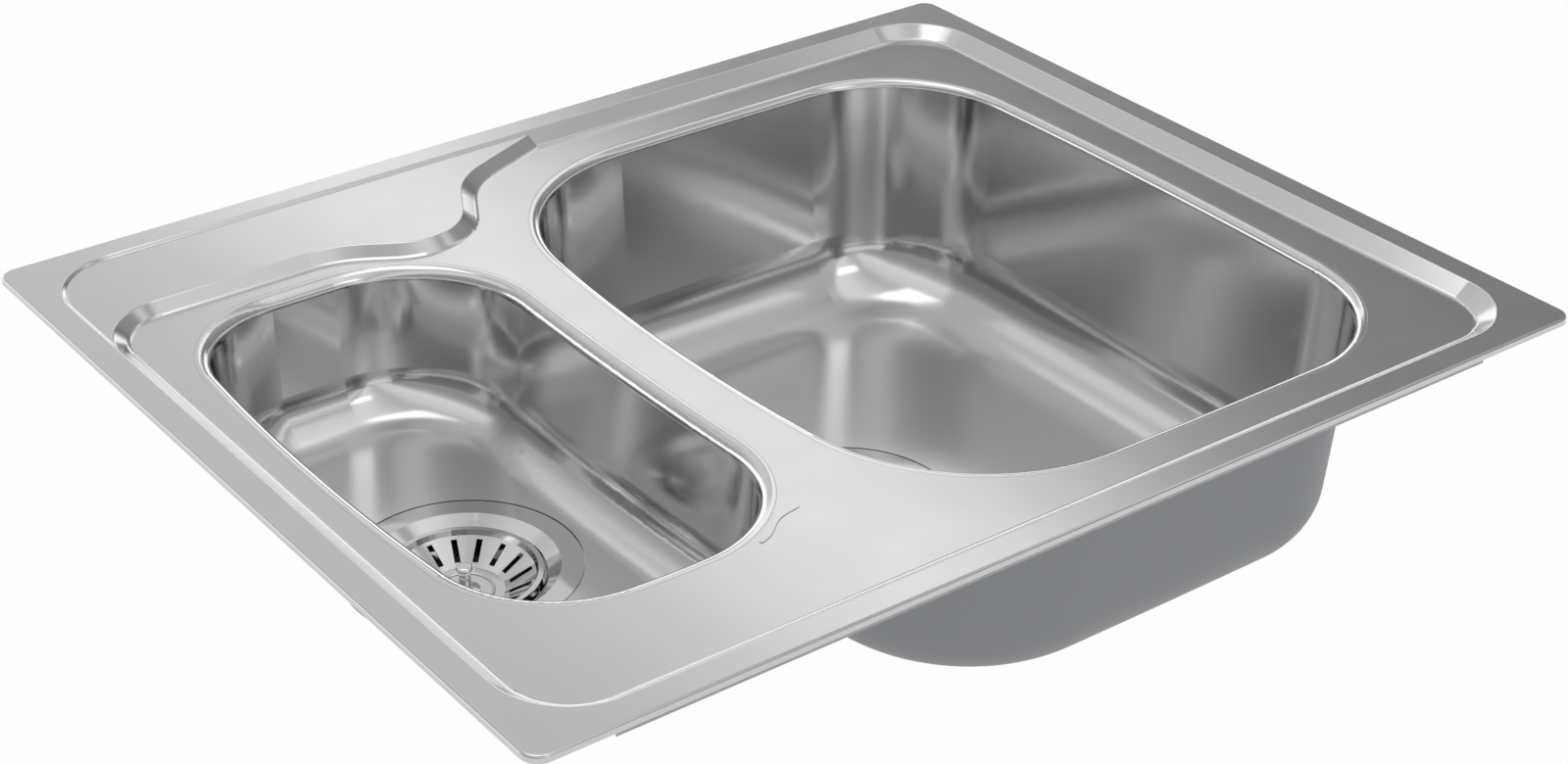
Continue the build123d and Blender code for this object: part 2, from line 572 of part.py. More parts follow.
class Waste:
    """A basket waste in a bowl's recess."""

    def __init__(self, bowl):
        self.centre = bowl.drain
        self.recess = bowl.recess
        self.top = bowl.recess + TOP_SEAL + FLANGE_SHEET
        self.seat = self.top - CUP_DEPTH
        self.body_top = bowl.recess - SHEET - LOWER_SEAL
        self.basket_floor = self.top - BASKET_FLOOR_DROP

    def place(self, solid):
        return Pos(*self.centre) * solid

    def spokes(self, width, inner, outer, low, high, count):
        """Radial bars or slots round the centre."""
        bar = block(inner, outer, -width / 2, width / 2, low, high)
        return [Rot(0, 0, 360 * i / count) * bar for i in range(count)]

    def upper_seal(self):
        return self.place(tube(TOP_SEAL_OUTER, TOP_SEAL_INNER, self.recess, self.recess + TOP_SEAL))

    def lower_seal(self):
        return self.place(tube(LOWER_SEAL_OUTER, LOWER_SEAL_INNER, self.body_top, self.body_top + LOWER_SEAL))

    def flange(self):
        t = FLANGE_SHEET
        cone_rise = CUP_CONE / (CUP_MOUTH - CUP_RADIUS)
        lean = t * math.hypot(1, cone_rise) - t
        outer_mouth = CUP_MOUTH - (t - lean) * 0.35
        bottom = self.seat - t
        cone_foot = self.top - CUP_CONE
        points = [(FLANGE_RADIUS, self.top), (CUP_MOUTH, self.top), (CUP_RADIUS, cone_foot)]
        points += [(CUP_RADIUS, self.seat), (SEAT_HOLE, self.seat), (SEAT_HOLE, bottom)]
        points += [(CUP_RADIUS + t, bottom), (CUP_RADIUS + t, cone_foot - t / 2), (outer_mouth, self.top - t)]
        points += [(FLANGE_RADIUS - t, self.top - t), (FLANGE_RADIUS - t, self.recess + FLANGE_EDGE_GAP)]
        points += [(FLANGE_RADIUS, self.recess + FLANGE_EDGE_GAP)]
        cup = spun(points) + cylinder(HUB_RADIUS, bottom, self.seat)
        for spoke in self.spokes(SPOKE_WIDTH, 0, SEAT_HOLE + t, bottom, self.seat, SPOKES):
            cup += spoke
        return self.place(cup - cylinder(SCREW_RADIUS + SCREW_GAP, bottom, self.seat))

    def body(self):
        top = self.body_top
        cup_end = top - BODY_DEPTH
        funnel_end = cup_end - FUNNEL_DEPTH
        end = funnel_end - OUTLET_LENGTH
        outer = BODY_INNER + BODY_WALL
        points = [(BODY_INNER, top), (BODY_FLANGE_RADIUS, top), (BODY_FLANGE_RADIUS, top - BODY_FLANGE)]
        points += [(outer, top - BODY_FLANGE), (outer, cup_end - BODY_WALL / 2)]
        points += [(OUTLET_RADIUS, funnel_end - BODY_WALL / 2), (OUTLET_RADIUS, end), (OUTLET_BORE, end)]
        points += [(OUTLET_BORE, funnel_end), (BODY_INNER, cup_end)]
        cup = spun(points)
        boss_top = self.seat - FLANGE_SHEET
        cup += cylinder(BOSS_RADIUS, boss_top - BOSS_LENGTH, boss_top)
        rib_end = cup_end - RIB_DROP
        for rib in self.spokes(RIB_WIDTH, 0, OUTLET_BORE + BODY_WALL / 2, rib_end, rib_end + RIB_HEIGHT, SPOKES):
            cup += rib
        return self.place(cup - cylinder(SCREW_RADIUS + SCREW_GAP, boss_top - BOSS_LENGTH, boss_top))

    def screw(self):
        head_top = self.seat + SCREW_HEAD
        screw = cylinder(SCREW_HEAD_RADIUS, self.seat, head_top)
        screw += cylinder(SCREW_RADIUS, self.seat - SCREW_LENGTH, self.seat)
        screw -= cylinder(SCREW_BORE, self.seat - SCREW_LENGTH, head_top)
        reach = SCREW_HEAD_RADIUS + SCREW_GAP
        return self.place(screw - block(-reach, reach, -SCREW_SLOT / 2, SCREW_SLOT / 2,
                                        head_top - SCREW_SLOT_DEPTH, head_top))

    def basket(self):
        t = BASKET_SHEET
        rim = self.top - BASKET_DROP
        wall = self.top - BASKET_WALL_DROP
        floor = self.basket_floor
        rim_inner = BASKET_RADIUS - BASKET_RIM
        points = [(BASKET_RADIUS, rim), (rim_inner, rim), (BASKET_WALL_RADIUS, wall)]
        points += [(BASKET_FLOOR_RADIUS, floor), (0, floor), (0, floor - t), (BASKET_FLOOR_RADIUS + t / 2, floor - t)]
        points += [(BASKET_WALL_RADIUS + t, wall - t / 2), (rim_inner + t, rim - t), (BASKET_RADIUS, rim - t)]
        dish = spun(points)
        bead = Pos(0, 0, floor) * Torus(BEAD_RADIUS, BEAD_SIZE)
        dish += bead - cylinder(BASKET_FLOOR_RADIUS, floor - BEAD_SIZE, floor)
        for slot in self.spokes(SLOT_WIDTH, SLOT_INNER, SLOT_OUTER, floor, rim - t, SLOTS):
            dish -= slot
        return self.place(dish - cylinder(STEM_RADIUS + STEM_GAP, floor - t, floor))

    def post(self):
        foot = self.basket_floor
        neck = foot + POST_FOOT_HEIGHT
        head_top = self.top - POST_BELOW_FLANGE
        head_low = head_top - POST_HEAD_HEIGHT
        points = [(0, foot - STEM_LENGTH), (STEM_RADIUS, foot - STEM_LENGTH), (STEM_RADIUS, foot), (POST_FOOT, foot)]
        points += [(POST_FOOT, foot + POST_FOOT_HEIGHT / 2), (POST_NECK + 1, neck), (POST_NECK, neck + 1)]
        points += [(POST_NECK, head_low), (0, head_low)]
        head = cylinder(POST_HEAD, head_low, head_top)
        head = fillet(edges_at(head, head_top), POST_HEAD_HEIGHT * 0.7)
        head = fillet(edges_at(head, head_low), POST_HEAD_HEIGHT * 0.2)
        return self.place(spun(points) + head)

    def plug(self):
        top = self.basket_floor - BASKET_SHEET
        skirt_end = self.seat + PLUG_GAP
        inner = PLUG_RADIUS - PLUG_SKIRT_WIDTH
        plug = cylinder(PLUG_RADIUS, skirt_end, top) - cylinder(inner, skirt_end, top - PLUG_TOP)
        return self.place(plug - cylinder(STEM_RADIUS + STEM_GAP, skirt_end, top))


def pad(bowl, length, width, offset):
    low = bowl.floor - SHEET - PAD_THICKNESS
    centre = (bowl.drain[0] + offset[0], bowl.drain[1] + offset[1])
    return plate(length, width, PAD_CORNER, low, bowl.floor - SHEET, centre)


def parts():
    """Every part of the sink by name."""
    bowls = {"main": main_bowl(), "half": half_bowl()}
    found = {"deck": deck(bowls.values()), "rim_seal": rim_seal()}
    for name, (place, length) in sides().items():
        found["rail_" + name] = rail(place, length)
    reach = RECESS_RADIUS + SHEET + PAD_FROM_RECESS
    found["main_pad"] = pad(bowls["main"], MAIN_PAD_LENGTH, MAIN_PAD_WIDTH, (reach + MAIN_PAD_LENGTH / 2, 0))
    found["half_pad"] = pad(bowls["half"], HALF_PAD_LENGTH, HALF_PAD_WIDTH, (0, reach + HALF_PAD_WIDTH / 2))
    places = clip_places()
    for number, place in enumerate(places, 1):
        found["clip_bracket_%d" % number] = place * clip_bracket()
        found["clip_arm_%d" % number] = place * clip_arm()
        found["clip_screw_%d" % number] = place * clip_screw()
    found["clip_pins"] = Compound([place * clip_pin() for place in places])
    for name, bowl in bowls.items():
        found[name + "_bowl"] = bowl.sheet()
        waste = Waste(bowl)
        found[name + "_waste_flange"] = waste.flange()
        found[name + "_upper_seal"] = waste.upper_seal()
        found[name + "_lower_seal"] = waste.lower_seal()
        found[name + "_waste_body"] = waste.body()
        found[name + "_waste_screw"] = waste.screw()
        found[name + "_basket"] = waste.basket()
        found[name + "_basket_post"] = waste.post()
        found[name + "_plug"] = waste.plug()
    return found


if __name__ == "__main__":
    os.makedirs("parts", exist_ok=True)
    for name, solid in parts().items():
        export_step(solid, "parts/%s.step" % name)
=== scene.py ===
"""Looks of the inset stainless sink: its finishes, a plain studio and the photograph's camera."""

import json
import logging
import math
from dataclasses import dataclass
from enum import Enum
from typing import Any

import bpy
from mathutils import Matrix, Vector

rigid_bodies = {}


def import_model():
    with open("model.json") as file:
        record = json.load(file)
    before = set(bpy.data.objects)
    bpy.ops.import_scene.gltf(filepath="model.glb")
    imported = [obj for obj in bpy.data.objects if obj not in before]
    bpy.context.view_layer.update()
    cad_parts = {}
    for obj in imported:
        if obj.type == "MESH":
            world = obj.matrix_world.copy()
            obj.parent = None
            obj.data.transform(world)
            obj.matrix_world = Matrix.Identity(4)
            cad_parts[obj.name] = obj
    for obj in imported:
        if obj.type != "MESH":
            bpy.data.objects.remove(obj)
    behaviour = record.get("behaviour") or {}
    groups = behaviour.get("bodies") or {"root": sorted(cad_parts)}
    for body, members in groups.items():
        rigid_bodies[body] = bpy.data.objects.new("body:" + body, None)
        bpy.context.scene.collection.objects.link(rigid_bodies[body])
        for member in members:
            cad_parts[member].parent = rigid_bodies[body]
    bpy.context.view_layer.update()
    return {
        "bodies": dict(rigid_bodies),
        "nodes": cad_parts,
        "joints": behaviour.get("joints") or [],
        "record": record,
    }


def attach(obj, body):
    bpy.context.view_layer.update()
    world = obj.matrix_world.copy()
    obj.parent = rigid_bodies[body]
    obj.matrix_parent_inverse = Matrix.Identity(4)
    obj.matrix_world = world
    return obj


LOG = logging.getLogger("sink")
MM = 0.001
# Nearly all values of a noise lie between these two.
NOISE_LOW, NOISE_HIGH = 0.3, 0.7

Colour = tuple[float, float, float, float]
Span = tuple[float, float]
Stops = tuple[Span, ...]


def linear(hex_colour: str) -> Colour:
    """Turns an sRGB colour into the linear values that a shader takes.

    Args:
        hex_colour: Six hexadecimal digits, such as "b8b8b8".

    Returns:
        Red, green, blue and an alpha of one.
    """
    values = []
    for i in (0, 2, 4):
        c = int(hex_colour[i : i + 2], 16) / 255
        values.append(c / 12.92 if c <= 0.04045 else ((c + 0.055) / 1.055) ** 2.4)
    return (values[0], values[1], values[2], 1.0)


def grey(brightness: float) -> Colour:
    """Gives a plain linear grey."""
    return (brightness, brightness, brightness, 1.0)


def add_node(
    tree: bpy.types.NodeTree, kind: str, inputs: dict[str | int, Any] | None = None, **settings: Any
) -> bpy.types.Node:
    """Adds a node to a shader tree with its settings and links.

    Args:
        tree: The tree that the node joins.
        kind: The node's type.
        inputs: For each input, the socket that feeds it or a fixed value.
        settings: The node's own settings.

    Returns:
        The new node.
    """
    node = tree.nodes.new(kind)
    for name, value in settings.items():
        setattr(node, name, value)
    for key, value in (inputs or {}).items():
        if isinstance(value, bpy.types.NodeSocket):
            tree.links.new(value, node.inputs[key])
        else:
            node.inputs[key].default_value = value
    return node


def empty_tree(owner: bpy.types.Material | bpy.types.World) -> bpy.types.NodeTree:
    """Gives a material's or world's shader tree with nothing in it.

    Args:
        owner: The material or world.

    Returns:
        Its tree.
    """
    owner.use_nodes = True
    owner.node_tree.nodes.clear()
    return owner.node_tree


def grain_relief(
    tree: bpy.types.NodeTree, place: bpy.types.NodeSocket, grain_mm: float, depth_mm: float, detail: float
) -> bpy.types.NodeSocket:
    """Adds a grain that can be felt.

    Args:
        tree: The material's tree.
        place: The object's coordinates.
        grain_mm: How large a grain is.
        depth_mm: How deep it is.
        detail: How many finer levels the grain has.

    Returns:
        The normal's socket.
    """
    noise = {"Vector": place, "Scale": 1.0 / (grain_mm * MM), "Detail": detail}
    grain = add_node(tree, "ShaderNodeTexNoise", noise).outputs["Fac"]
    bump = {"Height": grain, "Strength": 1.0, "Distance": depth_mm * MM}
    return add_node(tree, "ShaderNodeBump", bump).outputs["Normal"]


def close_surface(tree: bpy.types.NodeTree, inputs: dict[str | int, Any]) -> None:
    """Ends a material's tree with its shader.

    Args:
        tree: The material's tree.
        inputs: What the shader takes.
    """
    shader = add_node(tree, "ShaderNodeBsdfPrincipled", inputs)
    add_node(tree, "ShaderNodeOutputMaterial", {"Surface": shader.outputs["BSDF"]})


class Slot(Enum):
    """The record's names for the finishes."""

    DECK = "deck_steel"
    BOWL = "bowl_steel"
    POLISHED = "polished_steel"
    ZINC = "zinc_steel"
    SCREW = "screw_steel"
    FOAM = "seal_foam"
    PAD = "pad_bitumen"
    RUBBER = "rubber"
    PLASTIC = "plastic"


@dataclass(frozen=True)
class SteelFinish:
    """A bare steel surface: its colour, gloss and faint clouding, and a grain where it has a depth."""

    name: str
    colour: str
    roughness: float
    spread: float
    cloud_mm: float = 36.0
    grain_mm: float = 0.0
    grain_depth_mm: float = 0.0

    def make(self) -> bpy.types.Material:
        """Makes the material.

        Returns:
            The material.
        """
        material = bpy.data.materials.new(self.name)
        tree = empty_tree(material)
        gloss, relief = self.surface(tree)
        close_surface(tree, {"Metallic": 1.0, "Base Color": linear(self.colour), "Roughness": gloss} | relief)
        return material

    def surface(self, tree: bpy.types.NodeTree) -> tuple[bpy.types.NodeSocket, dict[str, Any]]:
        """Adds the grain and the clouding.

        Args:
            tree: The material's tree.

        Returns:
            The roughness's socket, and the shader's normal where the grain is deep enough to feel.
        """
        place = add_node(tree, "ShaderNodeTexCoord").outputs["Object"]
        noise = {"Vector": place, "Scale": 1.0 / (self.cloud_mm * MM), "Detail": 4.0}
        span = {
            "Value": add_node(tree, "ShaderNodeTexNoise", noise).outputs["Fac"],
            "From Min": NOISE_LOW,
            "From Max": NOISE_HIGH,
            "To Min": self.roughness - self.spread,
            "To Max": self.roughness + self.spread,
        }
        gloss = add_node(tree, "ShaderNodeMapRange", span).outputs["Result"]
        if not self.grain_depth_mm:
            return gloss, {}
        return gloss, {"Normal": grain_relief(tree, place, self.grain_mm, self.grain_depth_mm, detail=3.0)}


@dataclass(frozen=True)
class BowlFinish:
    """The steel of a drawn bowl: polished on its hollow side, duller on its floor, as drawn on its back.

    Low faces that look up count as floor, more so across floor_facing. A face counts as back where it looks
    away from the bowl's axis, by axis_weight for each metre from it, or down, together above back_from.
    The back is rough as drawn, and its darker colour is painted shade for the underside below the deck.
    """

    inside: SteelFinish
    floor_roughness: float
    back_colour: str
    back_roughness: float
    floor_below_mm: float = 30.0
    floor_facing: Span = (0.6, 1.0)
    axis_weight: float = 8.0
    back_from: float = 0.2

    def make(self, name: str, axis: Span) -> bpy.types.Material:
        """Makes the material of one bowl.

        Args:
            name: The material's name.
            axis: Where the bowl's upright axis stands, in metres.

        Returns:
            The material.
        """
        material = bpy.data.materials.new(name)
        tree = empty_tree(material)
        gloss, relief = self.inside.surface(tree)
        back = self._back(tree, axis)
        # The back's darker colour is painted shade: the same steel is drawn darker where it lies below the
        # deck.
        colours = {"Factor": back, "A": linear(self.inside.colour), "B": linear(self.back_colour)}
        colour = add_node(tree, "ShaderNodeMix", colours, data_type="RGBA").outputs["Result"]
        inner = {"Factor": self._floor(tree), "A": gloss, "B": self.floor_roughness}
        both = {
            "Factor": back,
            "A": add_node(tree, "ShaderNodeMix", inner).outputs["Result"],
            "B": self.back_roughness,
        }
        roughness = add_node(tree, "ShaderNodeMix", both).outputs["Result"]
        close_surface(tree, {"Metallic": 1.0, "Base Color": colour, "Roughness": roughness} | relief)
        return material

    def _back(self, tree: bpy.types.NodeTree, axis: Span) -> bpy.types.NodeSocket:
        """Tells the bowl's back from its hollow side by where its faces look.

        Args:
            tree: The material's tree.
            axis: Where the bowl's upright axis stands, in metres.

        Returns:
            A socket that is one on the back.
        """
        spot = add_node(tree, "ShaderNodeTexCoord").outputs
        mapping = {
            "Vector": spot["Object"],
            "Location": (-axis[0] * self.axis_weight, -axis[1] * self.axis_weight, 0.0),
            "Scale": (self.axis_weight, self.axis_weight, 0.0),
        }
        from_axis = add_node(tree, "ShaderNodeMapping", mapping).outputs["Vector"]
        away = {0: from_axis, 1: spot["Normal"]}
        down = {0: spot["Normal"], 1: (0.0, 0.0, -1.0)}
        total = {
            0: add_node(tree, "ShaderNodeVectorMath", away, operation="DOT_PRODUCT").outputs["Value"],
            1: add_node(tree, "ShaderNodeVectorMath", down, operation="DOT_PRODUCT").outputs["Value"],
        }
        limit = {
            0: add_node(tree, "ShaderNodeMath", total, operation="ADD").outputs["Value"],
            1: self.back_from,
        }
        return add_node(tree, "ShaderNodeMath", limit, operation="GREATER_THAN").outputs["Value"]

    def _floor(self, tree: bpy.types.NodeTree) -> bpy.types.NodeSocket:
        """Finds the bowl's floor.

        Args:
            tree: The material's tree.

        Returns:
            A socket that rises to one on the level floor.
        """
        spot = add_node(tree, "ShaderNodeTexCoord").outputs
        facing = add_node(tree, "ShaderNodeSeparateXYZ", {"Vector": spot["Normal"]}).outputs["Z"]
        height = add_node(tree, "ShaderNodeSeparateXYZ", {"Vector": spot["Object"]}).outputs["Z"]
        span = {"Value": facing, "From Min": self.floor_facing[0], "From Max": self.floor_facing[1]}
        low = {0: height, 1: -self.floor_below_mm * MM}
        both = {
            0: add_node(tree, "ShaderNodeMapRange", span, interpolation_type="SMOOTHSTEP").outputs["Result"],
            1: add_node(tree, "ShaderNodeMath", low, operation="LESS_THAN").outputs["Value"],
        }
        return add_node(tree, "ShaderNodeMath", both, operation="MULTIPLY").outputs["Value"]


@dataclass(frozen=True)
class SoftFinish:
    """A rubber, foam, bitumen or plastic surface."""

    name: str
    colour: str
    roughness: float
    grain_mm: float
    grain_depth_mm: float

    def make(self) -> bpy.types.Material:
        """Makes the material.

        Returns:
            The material.
        """
        material = bpy.data.materials.new(self.name)
        tree = empty_tree(material)
        place = add_node(tree, "ShaderNodeTexCoord").outputs["Object"]
        relief = grain_relief(tree, place, self.grain_mm, self.grain_depth_mm, detail=4.0)
        close_surface(
            tree, {"Base Color": linear(self.colour), "Roughness": self.roughness, "Normal": relief}
        )
        return material


# 18/10 stainless sheet with a fine satin finish: a soft, slightly cloudy mirror without streaks. The clouds are
# as wide as a polishing wheel. The scratches of 0.01 mm are too fine to draw and only soften the mirror.
DECK_STEEL = SteelFinish("satin_stainless_sheet", "c8c8c8", 0.16, 0.008)
# The same sheet, stretched and polished inside the bowl: reflections are clearer on the walls.
BOWL_STEEL = SteelFinish("polished_drawn_stainless", "d0d0d0", 0.13, 0.01)
# The floor is ground flat after drawing, so the light spreads over it. The back stays as the press left it:
# # rough, without reflections, and an even darker grey that is painted shade for the underside below the deck.
DRAWN_BOWL = BowlFinish(BOWL_STEEL, floor_roughness=0.2, back_colour="8a8b8d", back_roughness=0.5)
# Buffed stainless of the waste: sharp, bright reflections.
POLISHED_STEEL = SteelFinish("buffed_stainless", "d0d0d2", 0.08, 0.01)
# Zinc plated mild steel of rails and clips: dull grey with a faint spangle of 9 mm. The plating's grain of
# about 0.1 mm is drawn at 4.5 mm, or it wouldn't show.
ZINC_STEEL = SteelFinish(
    "zinc_plated_steel", "a2a4a8", 0.42, 0.06, cloud_mm=9.0, grain_mm=4.5, grain_depth_mm=0.01
)
# Turned steel of the screws: brighter than the plating, with tool marks of 0.1 mm drawn at 1.4 mm to show.
SCREW_STEEL = SteelFinish("bright_turned_steel", "b4b4b6", 0.28, 0.04, grain_mm=1.4, grain_depth_mm=0.003)
# Moulded nitrile rubber of plugs and seals: near black with a low sheen, its grain of 0.3 mm drawn at 1.1 mm.
BLACK_RUBBER = SoftFinish("moulded_black_rubber", "1a1a1b", 0.62, grain_mm=1.1, grain_depth_mm=0.03)
# Closed-cell foam strip: dark grey and matt, its cells of 0.5 mm drawn at 1.4 mm, just large enough to show.
SEAL_FOAM = SoftFinish("closed_cell_foam", "3a3a3c", 0.9, grain_mm=1.4, grain_depth_mm=0.1)
# Bitumen sheet glued on against drumming: matt, with pits of 1 mm drawn at 2.9 mm to show.
SOUND_PAD = SoftFinish("bitumen_sheet", "34343a", 0.85, grain_mm=2.9, grain_depth_mm=0.15)
# Injection moulded polypropylene of the waste cup: off-white with a soft shine, and the mould's grain of
# 0.2 mm drawn at 1.7 mm.
WHITE_PLASTIC = SoftFinish("moulded_polypropylene", "e4e4e0", 0.45, grain_mm=1.7, grain_depth_mm=0.02)

# The bowls' own slot isn't here, as each bowl has a material that knows its axis.
FINISHES: dict[Slot, SteelFinish | SoftFinish] = {
    Slot.DECK: DECK_STEEL,
    Slot.POLISHED: POLISHED_STEEL,
    Slot.ZINC: ZINC_STEEL,
    Slot.SCREW: SCREW_STEEL,
    Slot.FOAM: SEAL_FOAM,
    Slot.PAD: SOUND_PAD,
    Slot.RUBBER: BLACK_RUBBER,
    Slot.PLASTIC: WHITE_PLASTIC,
}


class PaintShop:
    """Keeps one material for each slot and puts materials on the CAD nodes."""

    def __init__(self, frame: dict[str, Any]) -> None:
        """Opens the shop with nothing painted yet.
        """
        self.nodes = frame["nodes"]
        self.slots = {entry["node"]: Slot(entry["material_slot"]) for entry in frame["record"]["subparts"]}
        self.materials: dict[Slot, bpy.types.Material] = {}
        self.done: set[str] = set()

    def material(self, slot: Slot) -> bpy.types.Material:
        """Gives a slot's material, made once.

        Args:
            slot: The finish's slot.

        Returns:
            The material.
        """
        if slot not in self.materials:
            self.materials[slot] = FINISHES[slot].make()
        return self.materials[slot]

    def dress(self, node: str, material: bpy.types.Material | None = None) -> None:
        """Puts a material on a node.

        Args:
            node: The CAD node.
            material: The material, or none for the one of the node's slot.
        """
        mesh = self.nodes[node].data
        mesh.materials.clear()
        mesh.materials.append(material or self.material(self.slots[node]))
        self.done.add(node)
        LOG.info("%s: %s", node, mesh.materials[0].name)


@dataclass(frozen=True)
class Deck:
    """The pressed sheet and what is fixed below its rim."""

    sheet: str = "deck"
    seal: str = "rim_seal"
    rails: tuple[str, ...] = ("rail_front", "rail_rear", "rail_left", "rail_right")

    def build(self, shop: PaintShop) -> None:
        """Dresses the sheet, its seal and its rails."""
        for node in (self.sheet, self.seal, *self.rails):
            shop.dress(node)


@dataclass(frozen=True)
class Bowl:
    """A drawn bowl with the pad below its floor."""

    name: str
    axis_mm: Span
    finish: BowlFinish = DRAWN_BOWL

    def build(self, shop: PaintShop) -> None:
        """Dresses the bowl and its pad.

        Args:
            shop: Where the materials are kept.
        """
        axis = (self.axis_mm[0] * MM, self.axis_mm[1] * MM)
        material = self.finish.make("polished_drawn_stainless_" + self.name, axis)
        shop.dress(self.name + "_bowl", material)
        shop.dress(self.name + "_pad")


@dataclass(frozen=True)
class WeldSeam:
    """The weld between a bowl and the deck, ground flush with both.

    The bowl's edge is found between a face whose normal rises more than level_face and one whose normal
    rises less than upright_face.
    """

    bowl: str
    body: str = "sink"
    level_mm: float = -3.5
    level_within_mm: float = 0.02
    width_mm: float = 0.9
    proud_mm: float = 0.01
    merge_mm: float = 0.002
    level_face: float = 0.9
    upright_face: float = 0.1

    def build(self, shop: PaintShop) -> None:
        """Makes the seam along the bowl's edge.

        Args:
            shop: Where the CAD nodes and the materials are kept.
        """
        seam = self._edge(shop.nodes[self.bowl])
        bpy.ops.object.convert(target="CURVE")
        seam = bpy.context.object
        seam.data.bevel_depth = self.width_mm / 2 * MM
        seam.data.bevel_resolution = 1
        bpy.ops.object.convert(target="MESH")
        seam = bpy.context.object
        bpy.ops.object.mode_set(mode="EDIT")
        bpy.ops.mesh.select_all(action="SELECT")
        flatter = 2 * self.proud_mm / self.width_mm
        bpy.ops.transform.resize(value=(1.0, 1.0, flatter), center_override=(0.0, 0.0, self.level_mm * MM))
        bpy.ops.mesh.normals_make_consistent(inside=False)
        bpy.ops.object.mode_set(mode="OBJECT")
        bpy.ops.object.shade_smooth()
        seam.data.materials.clear()
        seam.data.materials.append(shop.material(Slot.DECK))
        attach(seam, self.body)
        LOG.info("%s: %d faces", seam.name, len(seam.data.polygons))

    def _edge(self, bowl: bpy.types.Object) -> bpy.types.Object:
        """Copies the bowl's top outer edge.

        Args:
            bowl: The CAD node.

        Returns:
            An object with nothing but that edge, selected and active.
        """
        mesh = bowl.data.copy()
        edge = bpy.data.objects.new(self.bowl + "_weld", mesh)
        bpy.context.scene.collection.objects.link(edge)
        bpy.ops.object.select_all(action="DESELECT")
        edge.select_set(True)
        bpy.context.view_layer.objects.active = edge
        bpy.ops.object.mode_set(mode="EDIT")
        bpy.ops.mesh.select_all(action="SELECT")
        bpy.ops.mesh.remove_doubles(threshold=self.merge_mm * MM)
        bpy.ops.mesh.select_all(action="DESELECT")
        bpy.ops.mesh.select_mode(type="EDGE")
        bpy.ops.object.mode_set(mode="OBJECT")
        tilts: dict[tuple[int, int], list[float]] = {}
        for face in mesh.polygons:
            for key in face.edge_keys:
                tilts.setdefault(key, []).append(face.normal.z)
        for line in mesh.edges:
            heights = [mesh.vertices[i].co.z / MM for i in line.vertices]
            level = all(abs(height - self.level_mm) < self.level_within_mm for height in heights)
            around = tilts[tuple(sorted(line.vertices))]
            corner = max(around) > self.level_face and abs(min(around)) < self.upright_face
            line.select = not (level and corner)
        bpy.ops.object.mode_set(mode="EDIT")
        bpy.ops.mesh.delete(type="EDGE")
        bpy.ops.object.mode_set(mode="OBJECT")
        return edge


@dataclass(frozen=True)
class Waste:
    """A strainer waste, from its flange down to its outlet."""

    name: str
    pieces: tuple[str, ...] = (
        "waste_flange",
        "upper_seal",
        "lower_seal",
        "waste_body",
        "waste_screw",
        "basket",
        "basket_post",
        "plug",
    )

    def build(self, shop: PaintShop) -> None:
        """Dresses the waste's pieces."""
        for piece in self.pieces:
            shop.dress(self.name + "_" + piece)


@dataclass(frozen=True)
class Clips:
    """The clips that hold the sink to the worktop."""

    count: int = 8
    pins: str = "clip_pins"

    def build(self, shop: PaintShop) -> None:
        """Dresses the pins and each clip's bracket, arm and screw.

        Args:
            shop: Where the materials are kept.
        """
        shop.dress(self.pins)
        for i in range(1, self.count + 1):
            for piece in ("clip_bracket_", "clip_arm_", "clip_screw_"):
                shop.dress(piece + str(i))


@dataclass(frozen=True)
class Softbox:
    """A rectangular light that faces straight down."""

    name: str
    place: tuple[float, float, float]
    size: Span
    power: float

    def build(self) -> None:
        """Adds the light to the scene."""
        bpy.ops.object.light_add(type="AREA", location=self.place)
        light = bpy.context.object
        light.name = self.name
        light.data.shape = "RECTANGLE"
        light.data.size, light.data.size_y = self.size
        light.data.energy = self.power


